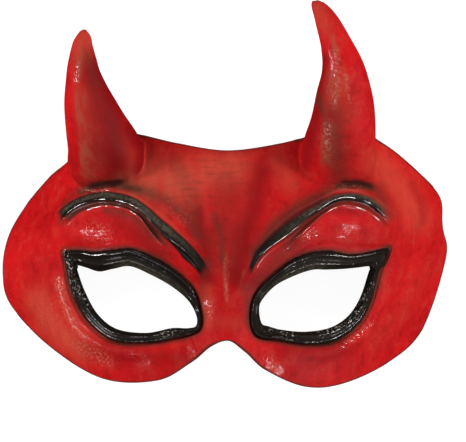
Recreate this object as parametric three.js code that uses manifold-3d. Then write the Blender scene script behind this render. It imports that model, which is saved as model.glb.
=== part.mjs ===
// Demon eye mask: one moulded latex skin with two hollow horns, lying face up on its side edges.
// Millimetres. +Y runs up the forehead and +Z points out of the face. Left and right are as the viewer
// sees them, so +X is right. The table under the mask is z = 0.
import * as THREE from 'three';
import { mergeVertices } from 'three/addons/utils/BufferGeometryUtils.js';
import Module from 'manifold-3d';

const wasm = await Module();
wasm.setup();

// Skin
const WALL = 2.2;                 // thickness of the latex
const MIDLINE = 1;                // x of the nose's centre line
const TABLE_CUT = -0.3;           // the side edges are moulded this far under the table, then cut flat
const BASE_Z = -25;               // bottom of the forms that only help to cut
const WELD = 0.001;               // points nearer than this are one point

// Dome over the face: its height falls from the middle to the side edges
const DEPTH = 54;
const SIDE_POWER = 2.6;           // 2 is a round dome, more is a flatter front with steeper sides
const BROW_LINE_Y = -20;          // above this the forehead rolls back
const FOREHEAD_ROLL = 0.005;
const CHEEK_LINE_Y = -50;         // below this the cheeks roll back
const CHEEK_ROLL = 0.01;
const LOW_EDGE = [1, 8];          // an edge under the first height is brought down to the table

// Half width of the dome: a base width and a swell at the temple
const LEFT_WIDTH = { base: 66, swell: 23, centreY: -30, reach: 40 };
const RIGHT_WIDTH = { base: 66, swell: 21.5, centreY: -20, reach: 48 };

// Soft rises (+) and dips (-) of the face, each an oval: centre, radii, height
const SWELLS = [
  { at: [MIDLINE, -10], radii: [11, 18], height: 1.5 },     // between the brows
  { at: [-50, -15], radii: [17, 9], height: 4.5 },          // left upper lid
  { at: [49, -14], radii: [17, 9], height: 4.5 },           // right upper lid
  { at: [-34, -43], radii: [30, 14], height: -5 },          // left eye socket
  { at: [35, -43], radii: [30, 14], height: -5 },           // right eye socket
  { at: [-13, -48], radii: [8, 13], height: -3 },           // left side of the nose
  { at: [15, -48], radii: [8, 13], height: -3 },            // right side of the nose
  { at: [-9, -5], radii: [3, 12], height: -1.6 },           // left frown furrow
  { at: [9, -17], radii: [3, 11], height: -1.4 },           // right frown furrow
];
const NOSE = { height: 6, halfWidth: 12, fromY: -24, toY: -56 };
const BROW_SWELL = { height: 4, halfWidth: 8 };
const BROW_PATHS = [
  [[-64, -12], [-57, -3], [-47, 0], [-36, -3], [-24, -12], [-10, -28]],
  [[64, -12], [58, -3], [47, 0], [37, -4], [22, -14], [10, -28]],
];

// Profile lines fan out from each eye opening to the edge of the mask, in order round the eye from
// its outer corner over the top. Each row says where the line starts on the opening, where it ends
// on the edge, and how far along it the rim's foot, the lid's fold, the brow's crest and top lie.
const LEFT_LINES = [
  [[-59, -28], [-80, -5.5], [7, 12.5, 16, 19.5]],
  [[-55, -29], [-69.5, 7], [7.5, 19, 22.5, 25.5]],
  [[-50, -30.5], [-61.5, 14.5], [8, 24.5, 27.5, 30.5]],
  [[-44.5, -29.5], [-50, 27], [7.5, 25, 27.5, 31]],
  [[-37.5, -28.5], [-33.5, 23.5], [7, 21, 23.5, 27.5]],
  [[-29, -32], [-18.5, 20], [7, 13.5, 17.5, 23]],
  [[-21, -36.5], [MIDLINE, 17.2], [6, 10.5, 15, 19]],
  [[-14.5, -42], [MIDLINE, -15], [4.5, 8.5, 12, 15.5]],
  [[-11.3, -48], [MIDLINE, -42], [2, 5, 7.5, 10]],
  [[-11.5, -52], [MIDLINE, -57.5], [2, 5, 8, 10.5]],
  [[-15, -53], [-6.5, -60], [3.5, 5, 7, 8.5]],
  [[-21, -53], [-14, -66.5], [4.5, 7, 9, 11.5]],
  [[-31.5, -55], [-26.8, -73.6], [4, 7, 10, 14.5]],
  [[-43.5, -53.5], [-48, -73.1], [4.5, 8, 11, 15]],
  [[-51.5, -47.5], [-68.8, -61], [4, 9.5, 13, 17.5]],
  [[-56.5, -39], [-85.1, -44.3], [4, 8.5, 14, 21]],
  [[-59.5, -31], [-88.5, -31.5], [3, 7.5, 13.5, 21]],
  [[-59.5, -29.5], [-86.6, -17.8], [4, 8.5, 12.5, 17]],
];
const RIGHT_LINES = [
  [[57.5, -28.5], [85.5, -1], [10, 15, 19.5, 24]],
  [[52.5, -29], [76, 9.5], [7, 20, 23, 26]],
  [[47.5, -29.5], [62.5, 20.5], [6, 24.5, 28, 31.5]],
  [[40.5, -29.8], [49.5, 27.5], [7.5, 25, 28.5, 31.5]],
  [[34.5, -29.9], [34.5, 23.5], [7, 18, 22, 26.5]],
  [[27, -32.4], [22, 20], [6.5, 12, 17, 23.5]],
  [[19.7, -36.3], [MIDLINE, 17.2], [4, 9.5, 14, 17.5]],
  [[14.5, -42], [MIDLINE, -15], [4, 7.5, 10.5, 13.5]],
  [[13.5, -46], [MIDLINE, -42], [3.5, 5.5, 7.5, 9.5]],
  [[14.5, -51], [MIDLINE, -57.5], [4.5, 6.5, 8.5, 11]],
  [[17.2, -52.2], [8.8, -62.2], [6, 7.5, 9, 11]],
  [[22.7, -53.7], [16.5, -69.5], [4.5, 7, 9.5, 12.5]],
  [[32, -54.5], [31.5, -76], [5, 7.5, 11, 15.5]],
  [[42, -53], [46.5, -75], [5.5, 8.5, 12, 17]],
  [[49.5, -48.5], [65, -66.5], [4.5, 9, 12, 17]],
  [[54.5, -41.5], [78.7, -53.2], [3.5, 7.5, 12.5, 18.5]],
  [[58, -31.5], [88, -25], [3, 7.5, 12.5, 19.5]],
  [[58.5, -30], [86.5, -13], [5.5, 10, 15, 21.5]],
];
const LINES = LEFT_LINES.length;
const MIDLINE_LINES = [6, 9];     // the lines from 6 to 9 end on the midline, the rest on the free edge
const STEPS = 5;                  // mesh steps between two profile lines

// Rings round the eye, numbered 0 opening, 1 rim's foot, 2 fold, 3 crest, 4 brow's top, 5 edge
const EDGE = 5;
const INNER_KEYS = [0, 1, 2, 3, 4];
const OUTER_RINGS = [0, 0.35, 0.7, 1, 1.33, 1.67, 2, 2.5, 3, 3.5, 4, 4.2, 4.45, 4.7, EDGE];
const INNER_RINGS = [0, 1, 2, 3, 4, 4.5, EDGE];

// Ridges that run round the eye. Each has its ring, its half width in rings, its height, and the
// lines between which it fades in and out, or null where it goes all the way round.
const RIDGES = [
  { ring: 0.65, halfWidth: 0.55, height: 1.4, lines: null },              // painted rim
  { ring: 1.1, halfWidth: 0.4, height: -0.8, lines: null },               // crease at the rim's foot
  { ring: 2, halfWidth: 0.5, height: 1.2, lines: [0.3, 2, 5, 7] },        // fold of the upper lid
  { ring: 2.5, halfWidth: 0.5, height: -0.6, lines: [0.3, 2, 5.5, 7] },   // groove under the brow
  { ring: 3, halfWidth: 0.55, height: 1.6, lines: [0.3, 2, 6, 8] },       // crest of the brow
  { ring: 4, halfWidth: 0.4, height: 1, lines: [0, 1.5, 6.5, 8] },        // top edge of the brow
  { ring: 4.2, halfWidth: 0.3, height: -0.8, lines: [0, 1.5, 6, 7.5] },   // crease above the brow
  { ring: 2.1, halfWidth: 0.8, height: 1.4, lines: [11, 13, 15, 16.5] },  // bag under the eye
];

// Horns, as stations along each: centre of the section, half its width and half its depth. The first
// station of each lies inside the forehead.
const LEFT_HORN = [
  { at: [-46.4, 9, 12], half: [12, 7] },
  { at: [-46.4, 11.5, 27], half: [14, 9] },
  { at: [-46.6, 14, 38.5], half: [15.3, 10.6] },
  { at: [-47.8, 18.5, 47.5], half: [14.3, 11] },
  { at: [-50.7, 26.5, 55], half: [12.3, 10.4] },
  { at: [-53.8, 36.5, 59.5], half: [9.8, 9] },
  { at: [-55.7, 46.5, 61.5], half: [7, 7] },
  { at: [-56.1, 55.5, 62], half: [4.8, 4.8] },
  { at: [-55.4, 61.3, 61.8], half: [3.6, 3.6] },
  { at: [-55, 64.6, 61.5], half: [1.2, 1.2] },
];
const RIGHT_HORN = [
  { at: [44, 9, 12], half: [12, 7] },
  { at: [44, 11.5, 27], half: [14, 9] },
  { at: [44.2, 14, 38.5], half: [15.2, 10.8] },
  { at: [45.2, 19, 48], half: [14.2, 11] },
  { at: [46.6, 28, 56], half: [12.9, 10.6] },
  { at: [47, 38.5, 61], half: [11.2, 9.6] },
  { at: [46.5, 49, 63.5], half: [8.6, 8.2] },
  { at: [43.8, 59, 64.5], half: [6.2, 6.2] },
  { at: [39.6, 69, 64], half: [4.4, 4.4] },
  { at: [36.4, 74.8, 63], half: [2.4, 2.4] },
  { at: [35.6, 76, 62.6], half: [1.2, 1.2] },
];
const HORN_SIDES = 18;
const HORN_RINGS = 11;
const HORN_SOLID_TIP = 0.22;      // share of the horn's length at the tip that is solid latex
const ROOT_IN_WALL = 0.9;         // how far up into the wall a horn's root ends

function smoothstep(value, from, to) {
  const t = Math.min(Math.max((value - from) / (to - from), 0), 1);
  return t * t * (3 - 2 * t);
}

// One inside the span, nothing outside, with soft ends
function span(value, [start, full, last, end]) {
  return smoothstep(value, start, full) * (1 - smoothstep(value, last, end));
}

function distanceToPath(x, y, path) {
  let nearest = Infinity;
  for (let i = 1; i < path.length; i++) {
    const [ax, ay] = path[i - 1];
    const [bx, by] = path[i];
    const [dx, dy] = [bx - ax, by - ay];
    const along = ((x - ax) * dx + (y - ay) * dy) / (dx * dx + dy * dy);
    const t = Math.min(Math.max(along, 0), 1);
    nearest = Math.min(nearest, Math.hypot(x - ax - t * dx, y - ay - t * dy));
  }
  return nearest;
}

// Height of the soft face form, without the ridges round the eyes
function faceHeight(x, y) {
  const width = x < MIDLINE ? LEFT_WIDTH : RIGHT_WIDTH;
  const halfWidth = width.base + width.swell * Math.exp(-(((y - width.centreY) / width.reach) ** 2));
  const rollTop = FOREHEAD_ROLL * Math.max(0, y - BROW_LINE_Y) ** 2;
  const rollBottom = CHEEK_ROLL * Math.max(0, CHEEK_LINE_Y - y) ** 2;
  const depth = DEPTH - rollTop - rollBottom;
  let height = depth * (1 - (Math.abs(x - MIDLINE) / halfWidth) ** SIDE_POWER);
  for (const { at, radii, height: rise } of SWELLS) {
    height += rise * Math.exp(-(((x - at[0]) / radii[0]) ** 2) - ((y - at[1]) / radii[1]) ** 2);
  }
  const acrossNose = Math.exp(-(((x - MIDLINE) / NOSE.halfWidth) ** 2));
  height += NOSE.height * acrossNose * smoothstep(-y, -NOSE.fromY, -NOSE.toY);
  for (const path of BROW_PATHS) {
    height += BROW_SWELL.height * Math.exp(-((distanceToPath(x, y, path) / BROW_SWELL.halfWidth) ** 2));
  }
  return height;
}

function ridgeHeight(line, ring) {
  let height = 0;
  for (const ridge of RIDGES) {
    const off = Math.abs(ring - ridge.ring) / ridge.halfWidth;
    if (off >= 1) continue;
    const strength = ridge.lines ? span(line, ridge.lines) : 1;
    height += ridge.height * strength * Math.cos((off * Math.PI) / 2) ** 2;
  }
  return height;
}

// A point on a smooth curve through four numbers, t of the way from the second to the third
function throughPoints(a, b, c, d, t) {
  const bend = 2 * a - 5 * b + 4 * c - d;
  const twist = -a + 3 * b - 3 * c + d;
  return 0.5 * (2 * b + (c - a) * t + bend * t * t + twist * t ** 3);
}

function curveAt(points, i, t) {
  const pick = (k) => points[(k + points.length) % points.length];
  const [a, b, c, d] = [pick(i - 1), pick(i), pick(i + 1), pick(i + 2)];
  return b.map((_, axis) => throughPoints(a[axis], b[axis], c[axis], d[axis], t));
}

// Where one profile line's key rings lie: opening, rim, fold, crest, brow's top
function ringPoints(lines, ring) {
  return lines.map(([eye, edge, distances]) => {
    const length = Math.hypot(edge[0] - eye[0], edge[1] - eye[1]);
    const share = ring === 0 ? 0 : distances[ring - 1] / length;
    return [0, 1].map((axis) => eye[axis] + (edge[axis] - eye[axis]) * share);
  });
}

// The free edge is one curve from the nose's notch round to the top of the forehead, and the
// midline is straight. Both are joined to a closed ring in the order of the profile lines.
function edgePoint(lines, i, t) {
  const [top, notch] = MIDLINE_LINES;
  const ends = lines.map((line) => line[1]);
  if (i >= top && i < notch) {
    return ends[i].map((value, axis) => value + (ends[i + 1][axis] - value) * t);
  }
  const free = [];
  for (let k = notch; k <= LINES + top; k++) free.push(ends[k % LINES]);
  const mirrored = (end, next) => [2 * end[0] - next[0], next[1]];
  const curve = [mirrored(free[0], free[1]), ...free, mirrored(free.at(-1), free.at(-2))];
  const start = 1 + ((i - notch + LINES) % LINES);
  return curveAt(curve, start, t);
}

function surfacePlace(side, step, ring) {
  const i = Math.floor(step / STEPS);
  const t = (step % STEPS) / STEPS;
  const lower = Math.min(Math.floor(ring), EDGE - 1);
  const at = (key) => (key === EDGE ? edgePoint(side.lines, i, t) : curveAt(side.rings[key], i, t));
  const [near, far] = [at(lower), at(lower + 1)];
  return near.map((value, axis) => value + (far[axis] - value) * (ring - lower));
}

// The low side edges come down to the table, so that the mask rests on two flat strips
function edgeDrop(side, step, ring) {
  const edge = faceHeight(...surfacePlace(side, step, EDGE));
  const low = 1 - smoothstep(edge, ...LOW_EDGE);
  return (edge - TABLE_CUT) * low * smoothstep(ring, 4, EDGE);
}

function outerPoint(side, step, ring) {
  const [x, y] = surfacePlace(side, step, ring);
  return [x, y, faceHeight(x, y) + ridgeHeight(step / STEPS, ring) - edgeDrop(side, step, ring)];
}

// The inside follows the soft form, a wall's thickness in along its normal
function innerPoint(side, step, ring, wall = WALL) {
  const [x, y] = surfacePlace(side, step, ring);
  const small = 0.05;
  const height = faceHeight(x, y);
  const slopeX = (faceHeight(x + small, y) - faceHeight(x - small, y)) / (2 * small);
  const slopeY = (faceHeight(x, y + small) - faceHeight(x, y - small)) / (2 * small);
  const scale = wall / Math.hypot(slopeX, slopeY, 1);
  return [x + slopeX * scale, y + slopeY * scale, height - edgeDrop(side, step, ring) - scale];
}

function toSolid(positions, indices) {
  const geometry = new THREE.BufferGeometry();
  geometry.setAttribute('position', new THREE.Float32BufferAttribute(positions, 3));
  geometry.setIndex(indices);
  const merged = mergeVertices(geometry, WELD);
  return new wasm.Manifold(new wasm.Mesh({
    numProp: 3,
    vertProperties: new Float32Array(merged.attributes.position.array),
    triVerts: new Uint32Array(merged.index.array),
  }));
}

// Collects the four-sided faces of rings of points. A ring is an array of points.
class Sheet {
  constructor() {
    this.positions = [];
    this.indices = [];
  }

  ring(points) {
    const first = this.positions.length / 3;
    for (const point of points) this.positions.push(...point);
    return points.map((_, k) => first + k);
  }

  face(a, b, c, d, turned) {
    if (turned) this.indices.push(a, c, b, a, d, c);
    else this.indices.push(a, b, c, a, c, d);
  }

  // Joins two rings of equal count; skips the steps that the test leaves out
  join(from, to, turned, wanted = () => true) {
    for (let k = 0; k < from.length; k++) {
      const next = (k + 1) % from.length;
      if (wanted(k)) this.face(from[k], from[next], to[next], to[k], turned);
    }
  }

  solid() {
    return toSolid(this.positions, this.indices);
  }
}

const SIDES = [
  { lines: LEFT_LINES, turned: false },
  { lines: RIGHT_LINES, turned: true },
].map((side) => ({ ...side, rings: INNER_KEYS.map((ring) => ringPoints(side.lines, ring)) }));

const STEP_LIST = Array.from({ length: LINES * STEPS }, (_, step) => step);
const onFreeEdge = (step) => step < MIDLINE_LINES[0] * STEPS || step >= MIDLINE_LINES[1] * STEPS;

function joinAll(sheet, rings, turned) {
  for (let k = 1; k < rings.length; k++) sheet.join(rings[k - 1], rings[k], turned);
}

// The skin: outer face, inner face, and the cut edges at the eye openings and round the mask
function makeSkin() {
  const sheet = new Sheet();
  for (const side of SIDES) {
    const row = (ring, point) => sheet.ring(STEP_LIST.map((step) => point(side, step, ring)));
    const outer = OUTER_RINGS.map((ring) => row(ring, outerPoint));
    const inner = INNER_RINGS.map((ring) => row(ring, innerPoint));
    joinAll(sheet, outer, side.turned);
    joinAll(sheet, inner, !side.turned);
    sheet.join(inner[0], outer[0], side.turned);
    sheet.join(outer.at(-1), inner.at(-1), side.turned, onFreeEdge);
  }
  return sheet.solid();
}

// The space behind the face, up into the wall a little, which trims the roots of the horns
function makeFaceSpace() {
  const sheet = new Sheet();
  const raised = (side, step, ring) => innerPoint(side, step, ring, WALL - ROOT_IN_WALL);
  for (const side of SIDES) {
    const row = (ring, point) => sheet.ring(STEP_LIST.map((step) => point(side, step, ring)));
    const flat = (...place) => [...raised(...place).slice(0, 2), BASE_Z];
    const top = INNER_RINGS.map((ring) => row(ring, raised));
    const [low, lowEdge] = [row(0, flat), row(EDGE, flat)];
    joinAll(sheet, top, side.turned);
    sheet.join(low, top[0], side.turned);
    sheet.join(top.at(-1), lowEdge, side.turned, onFreeEdge);
    sheet.join(lowEdge, low, side.turned);
  }
  return sheet.solid();
}

// A horn is a closed form of oval sections square to a curved centre line
function makeHorn(stations, inset, length) {
  const centres = new THREE.CatmullRomCurve3(stations.map(({ at }) => new THREE.Vector3(...at)));
  const halves = new THREE.CatmullRomCurve3(stations.map(({ half }) => new THREE.Vector3(...half, 0)));
  const sheet = new Sheet();
  const rings = [];
  for (let k = 0; k <= HORN_RINGS; k++) {
    const t = (k / HORN_RINGS) * length;
    const centre = centres.getPoint(t);
    const along = centres.getTangent(t);
    const half = halves.getPoint(t);
    const side = new THREE.Vector3(1, 0, 0).addScaledVector(along, -along.x).normalize();
    const up = new THREE.Vector3().crossVectors(along, side);
    const points = [];
    for (let n = 0; n < HORN_SIDES; n++) {
      const angle = (2 * Math.PI * n) / HORN_SIDES;
      const point = centre.clone()
        .addScaledVector(side, (half.x - inset) * Math.cos(angle))
        .addScaledVector(up, (half.y - inset) * Math.sin(angle));
      points.push(point.toArray());
    }
    rings.push(sheet.ring(points));
  }
  joinAll(sheet, rings, false);
  const [root] = sheet.ring([centres.getPoint(0).toArray()]);
  const [tip] = sheet.ring([centres.getPoint(length).toArray()]);
  for (let n = 0; n < HORN_SIDES; n++) {
    const next = (n + 1) % HORN_SIDES;
    sheet.indices.push(root, rings[0][next], rings[0][n], tip, rings.at(-1)[n], rings.at(-1)[next]);
  }
  return sheet.solid();
}

function aboveTable() {
  const size = 400;
  const box = new THREE.BoxGeometry(size, size, size).translate(0, 0, size / 2);
  return toSolid([...box.attributes.position.array], [...box.index.array]);
}

function makeMask() {
  const faceSpace = makeFaceSpace();
  let mask = makeSkin();
  for (const horn of [LEFT_HORN, RIGHT_HORN]) mask = mask.add(makeHorn(horn, 0, 1).subtract(faceSpace));
  for (const horn of [LEFT_HORN, RIGHT_HORN]) {
    mask = mask.subtract(makeHorn(horn, WALL, 1 - HORN_SOLID_TIP));
  }
  return mask.intersect(aboveTable());
}

function toGeometry(solid) {
  const { vertProperties, triVerts } = solid.getMesh();
  const geometry = new THREE.BufferGeometry();
  geometry.setAttribute('position', new THREE.Float32BufferAttribute(vertProperties, 3));
  geometry.setIndex(new THREE.BufferAttribute(new Uint32Array(triVerts), 1));
  geometry.computeVertexNormals();
  return geometry;
}

const redLatex = new THREE.MeshStandardMaterial({ color: 0xb81c1e, roughness: 0.35, metalness: 0 });

const mask = new THREE.Mesh(toGeometry(makeMask()), redLatex);
mask.name = 'demon_eye_mask';

const group = new THREE.Group();
group.add(mask);

export default group;
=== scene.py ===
# %% [markdown]
# A devil half mask is cast in one go. Latex is poured into a plaster mould, and the dry skin is peeled
# out, trimmed round its edge and its eyes, and painted: red all over, black on the rims and brows, and
# a brown mist sprayed round the horns. So there is one piece here, and its shape and its paint carry
# everything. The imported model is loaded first, because the new skin has to lie exactly where it does.

# %% Load the frame
import math
import bpy
import numpy as np
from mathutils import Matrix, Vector, kdtree, noise


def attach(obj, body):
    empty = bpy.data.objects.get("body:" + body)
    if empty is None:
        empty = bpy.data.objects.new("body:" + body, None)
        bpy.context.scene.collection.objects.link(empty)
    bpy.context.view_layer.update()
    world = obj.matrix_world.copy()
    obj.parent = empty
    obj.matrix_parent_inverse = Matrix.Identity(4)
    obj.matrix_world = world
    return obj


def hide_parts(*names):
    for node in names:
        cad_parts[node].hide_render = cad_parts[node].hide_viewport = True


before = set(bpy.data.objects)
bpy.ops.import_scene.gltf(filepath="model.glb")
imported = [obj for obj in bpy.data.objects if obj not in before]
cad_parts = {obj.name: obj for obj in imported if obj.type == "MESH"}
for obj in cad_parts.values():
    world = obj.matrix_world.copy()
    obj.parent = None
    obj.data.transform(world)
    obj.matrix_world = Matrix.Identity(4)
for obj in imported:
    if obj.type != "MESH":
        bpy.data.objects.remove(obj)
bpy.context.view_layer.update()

MM = 0.001  # the form is worked out in millimetres and built in metres

# %% [markdown]
# The soft form of the face comes first. It is a dome that falls away to the sides, with ovals that
# rise and dip: lids, eye sockets, the sides of the nose. Sculptors call this blocking in. Adding up
# smooth bumps is easy to change, and it never leaves a crease where two of them meet.

# %% Soft form of the face
WALL = 2.2  # thickness of the latex
MIDLINE = 1  # x of the nose's centre line
TABLE_CUT = -0.3  # the side edges reach this far under the table before they are cut
DEPTH = 54  # height of the dome along the midline
SIDE_POWER = 2.6  # 2 is a round dome, more is a flatter front with steeper sides
BROW_LINE_Y = -20  # above this line the forehead rolls back
FOREHEAD_ROLL = 0.005
CHEEK_LINE_Y = -50  # below this one the cheeks do
CHEEK_ROLL = 0.01
LOW_EDGE = (1, 8)  # an edge lower than this comes down to the table
# half the dome's width, which swells round centre_y
LEFT_WIDTH = {"base": 66, "swell": 23, "centre_y": -30, "reach": 40}
RIGHT_WIDTH = {"base": 66, "swell": 21.5, "centre_y": -20, "reach": 48}

# centre, radii, height
SWELLS = [
    ((MIDLINE, -10), (11, 18), 1.5),  # between the brows
    ((-50, -15), (17, 9), 4.5),  # left upper lid
    ((49, -14), (17, 9), 4.5),  # right upper lid
    ((-34, -43), (30, 14), -5),  # left eye socket
    ((35, -43), (30, 14), -5),  # right eye socket
    ((-13, -48), (8, 13), -3),  # left side of the nose
    ((15, -48), (8, 13), -3),  # right side of the nose
    ((-9, -5), (3, 12), -1.6),  # left frown furrow
    ((9, -17), (3, 11), -1.4),  # right frown furrow
]
NOSE = {"height": 6, "half_width": 12, "from_y": -24, "to_y": -56}
BROW_SWELL = {"height": 4, "half_width": 8}
BROW_PATHS = [
    [(-64, -12), (-57, -3), (-47, 0), (-36, -3), (-24, -12), (-10, -28)],
    [(64, -12), (58, -3), (47, 0), (37, -4), (22, -14), (10, -28)],
]


def smoothstep(value, start, stop):
    t = np.clip((value - start) / (stop - start), 0, 1)
    return t * t * (3 - 2 * t)


def span(value, start, full, last, end):
    """One inside the span, nothing outside, with soft ends."""
    return smoothstep(value, start, full) * (1 - smoothstep(value, last, end))


def bell(distance, half_width):
    return np.exp(-(distance / half_width) ** 2)


def mound(x, y, centre, radii):
    (cx, cy), (rx, ry) = centre, radii
    return np.exp(-((x - cx) / rx) ** 2 - ((y - cy) / ry) ** 2)


def path_distance(x, y, path):
    """Distance from a path of straight stretches, or from a single point."""
    nearest = np.hypot(x - path[0][0], y - path[0][1])
    for (ax, ay), (bx, by) in zip(path, path[1:]):
        dx, dy = bx - ax, by - ay
        t = np.clip(((x - ax) * dx + (y - ay) * dy) / (dx * dx + dy * dy), 0, 1)
        nearest = np.minimum(nearest, np.hypot(x - ax - t * dx, y - ay - t * dy))
    return nearest


def face_height(x, y):
    def half_width(side):
        return side["base"] + side["swell"] * bell(y - side["centre_y"], side["reach"])

    width = np.where(x < MIDLINE, half_width(LEFT_WIDTH), half_width(RIGHT_WIDTH))
    roll = FOREHEAD_ROLL * np.maximum(0, y - BROW_LINE_Y) ** 2
    roll = roll + CHEEK_ROLL * np.maximum(0, CHEEK_LINE_Y - y) ** 2
    height = (DEPTH - roll) * (1 - (np.abs(x - MIDLINE) / width) ** SIDE_POWER)
    for centre, radii, rise in SWELLS:
        height = height + rise * mound(x, y, centre, radii)
    across = bell(x - MIDLINE, NOSE["half_width"])
    height = height + NOSE["height"] * across * smoothstep(-y, -NOSE["from_y"], -NOSE["to_y"])
    for path in BROW_PATHS:
        height = height + BROW_SWELL["height"] * bell(path_distance(x, y, path), BROW_SWELL["half_width"])
    return height


print("Height over the nose's bridge:", round(float(face_height(MIDLINE, -30.0)), 1), "mm")

# %% [markdown]
# Round each eye the mask is built like an onion: opening, rim, lid, fold, brow, wing. Profile lines
# fan out from the opening to the mask's edge. Each line says where the rim ends and where the lid's
# fold, the brow's crest and the brow's top lie. Curves through those marks are the onion's rings, so
# a ridge that follows a ring runs round the eye without a break.

# %% Profile lines
# start on the opening, end on the edge, distances of rim's foot, fold, crest and brow's top
LEFT_LINES = [
    ((-59, -28), (-80, -5.5), (7, 12.5, 16, 19.5)),
    ((-55, -29), (-69.5, 7), (7.5, 19, 22.5, 25.5)),
    ((-50, -30.5), (-61.5, 14.5), (8, 24.5, 27.5, 30.5)),
    ((-44.5, -29.5), (-50, 27), (7.5, 25, 27.5, 31)),
    ((-37.5, -28.5), (-33.5, 23.5), (7, 21, 23.5, 27.5)),
    ((-29, -32), (-18.5, 20), (7, 13.5, 17.5, 23)),
    ((-21, -36.5), (MIDLINE, 17.2), (6, 10.5, 15, 19)),
    ((-14.5, -42), (MIDLINE, -15), (4.5, 8.5, 12, 15.5)),
    ((-11.3, -48), (MIDLINE, -42), (2, 5, 7.5, 10)),
    ((-11.5, -52), (MIDLINE, -57.5), (2, 5, 8, 10.5)),
    ((-15, -53), (-6.5, -60), (3.5, 5, 7, 8.5)),
    ((-21, -53), (-14, -66.5), (4.5, 7, 9, 11.5)),
    ((-31.5, -55), (-26.8, -73.6), (4, 7, 10, 14.5)),
    ((-43.5, -53.5), (-48, -73.1), (4.5, 8, 11, 15)),
    ((-51.5, -47.5), (-68.8, -61), (4, 9.5, 13, 17.5)),
    ((-56.5, -39), (-85.1, -44.3), (4, 8.5, 14, 21)),
    ((-59.5, -31), (-88.5, -31.5), (3, 7.5, 13.5, 21)),
    ((-59.5, -29.5), (-86.6, -17.8), (4, 8.5, 12.5, 17)),
]
RIGHT_LINES = [
    ((57.5, -28.5), (85.5, -1), (10, 15, 19.5, 24)),
    ((52.5, -29), (76, 9.5), (7, 20, 23, 26)),
    ((47.5, -29.5), (62.5, 20.5), (6, 24.5, 28, 31.5)),
    ((40.5, -29.8), (49.5, 27.5), (7.5, 25, 28.5, 31.5)),
    ((34.5, -29.9), (34.5, 23.5), (7, 18, 22, 26.5)),
    ((27, -32.4), (22, 20), (6.5, 12, 17, 23.5)),
    ((19.7, -36.3), (MIDLINE, 17.2), (4, 9.5, 14, 17.5)),
    ((14.5, -42), (MIDLINE, -15), (4, 7.5, 10.5, 13.5)),
    ((13.5, -46), (MIDLINE, -42), (3.5, 5.5, 7.5, 9.5)),
    ((14.5, -51), (MIDLINE, -57.5), (4.5, 6.5, 8.5, 11)),
    ((17.2, -52.2), (8.8, -62.2), (6, 7.5, 9, 11)),
    ((22.7, -53.7), (16.5, -69.5), (4.5, 7, 9.5, 12.5)),
    ((32, -54.5), (31.5, -76), (5, 7.5, 11, 15.5)),
    ((42, -53), (46.5, -75), (5.5, 8.5, 12, 17)),
    ((49.5, -48.5), (65, -66.5), (4.5, 9, 12, 17)),
    ((54.5, -41.5), (78.7, -53.2), (3.5, 7.5, 12.5, 18.5)),
    ((58, -31.5), (88, -25), (3, 7.5, 12.5, 19.5)),
    ((58.5, -30), (86.5, -13), (5.5, 10, 15, 21.5)),
]
LINES = len(LEFT_LINES)
MIDLINE_TOP, MIDLINE_NOTCH = 6, 9  # lines 6 to 9 end on the midline, the rest on the free edge
# rings: 0 is the opening, 2 the lid's fold and 3 the brow's crest
RIM, BROW_TOP, EDGE = 1, 4, 5


def through(a, b, c, d, t):
    """A smooth curve through four points, t of the way from the second to the third."""
    value = 2 * b + (c - a) * t + (2 * a - 5 * b + 4 * c - d) * t ** 2
    return 0.5 * (value + (3 * b - a - 3 * c + d) * t ** 3)


def curve(points, steps, closed):
    """The curve through the points. An open one leaves out its first and its last stretch."""
    count = len(points)
    spans = range(count) if closed else range(1, count - 2)
    out = []
    for i in spans:
        a, b, c, d = (points[(i + k) % count] for k in (-1, 0, 1, 2))
        out += [through(a, b, c, d, step / steps) for step in range(steps)]
    return np.array(out)


def edge_curve(ends, steps):
    """The free edge is one curve from the notch round to the forehead. The midline is straight."""
    order = [k % LINES for k in range(MIDLINE_NOTCH, LINES + MIDLINE_TOP + 1)]
    free = ends[order]
    flip = np.array([-1, 1])
    first = free[1] * flip + (2 * free[0, 0], 0)
    last = free[-2] * flip + (2 * free[-1, 0], 0)
    free = curve(np.vstack([first, free, last]), steps, closed=False)
    straight = [ends[i] + (ends[i + 1] - ends[i]) * (step / steps)
                for i in range(MIDLINE_TOP, MIDLINE_NOTCH) for step in range(steps)]
    before = (LINES - MIDLINE_NOTCH) * steps
    return np.vstack([free[before:], straight, free[:before]])


def key_curves(lines, steps):
    """The rings that the profile lines mark: opening, rim, fold, crest, brow's top and edge."""
    starts, ends, marks = (np.array(column, float) for column in zip(*lines))
    lengths = np.linalg.norm(ends - starts, axis=1)
    curves = [curve(starts, steps, closed=True)]
    for mark in marks.T:
        curves.append(curve(starts + (ends - starts) * (mark / lengths)[:, None], steps, closed=True))
    curves.append(edge_curve(ends, steps))
    return np.array(curves)


def plan(curves, ring):
    """Where a ring lies, seen from the front."""
    lower = min(int(ring), EDGE - 1)
    return curves[lower] + (curves[lower + 1] - curves[lower]) * (ring - lower)


STEPS = 18  # points of the mesh between two profile lines
SIDES = {"left": key_curves(LEFT_LINES, STEPS), "right": key_curves(RIGHT_LINES, STEPS)}
LINE_OF_STEP = np.arange(LINES * STEPS) / STEPS
print("Points round each eye:", len(LINE_OF_STEP))

# %% [markdown]
# Ridges and grooves now follow the rings: the double rim, the thin fold of the upper lid, the two
# crests of the brow, and the bag under the eye. A cosine hump gives each a round back. Small lumps
# and wrinkles come on top, because cast latex is never perfectly smooth.

# %% Ridges and skin
# ring, half width in rings, height in mm
RIM_RIDGES = [
    (0.55, 0.62, 0.9),  # swell of the painted rim
    (0.8, 0.22, 0.7),  # its outer bead
    (0.27, 0.2, 0.6),  # its inner bead
    (1.1, 0.24, -0.9),  # crease at the rim's foot
]
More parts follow.
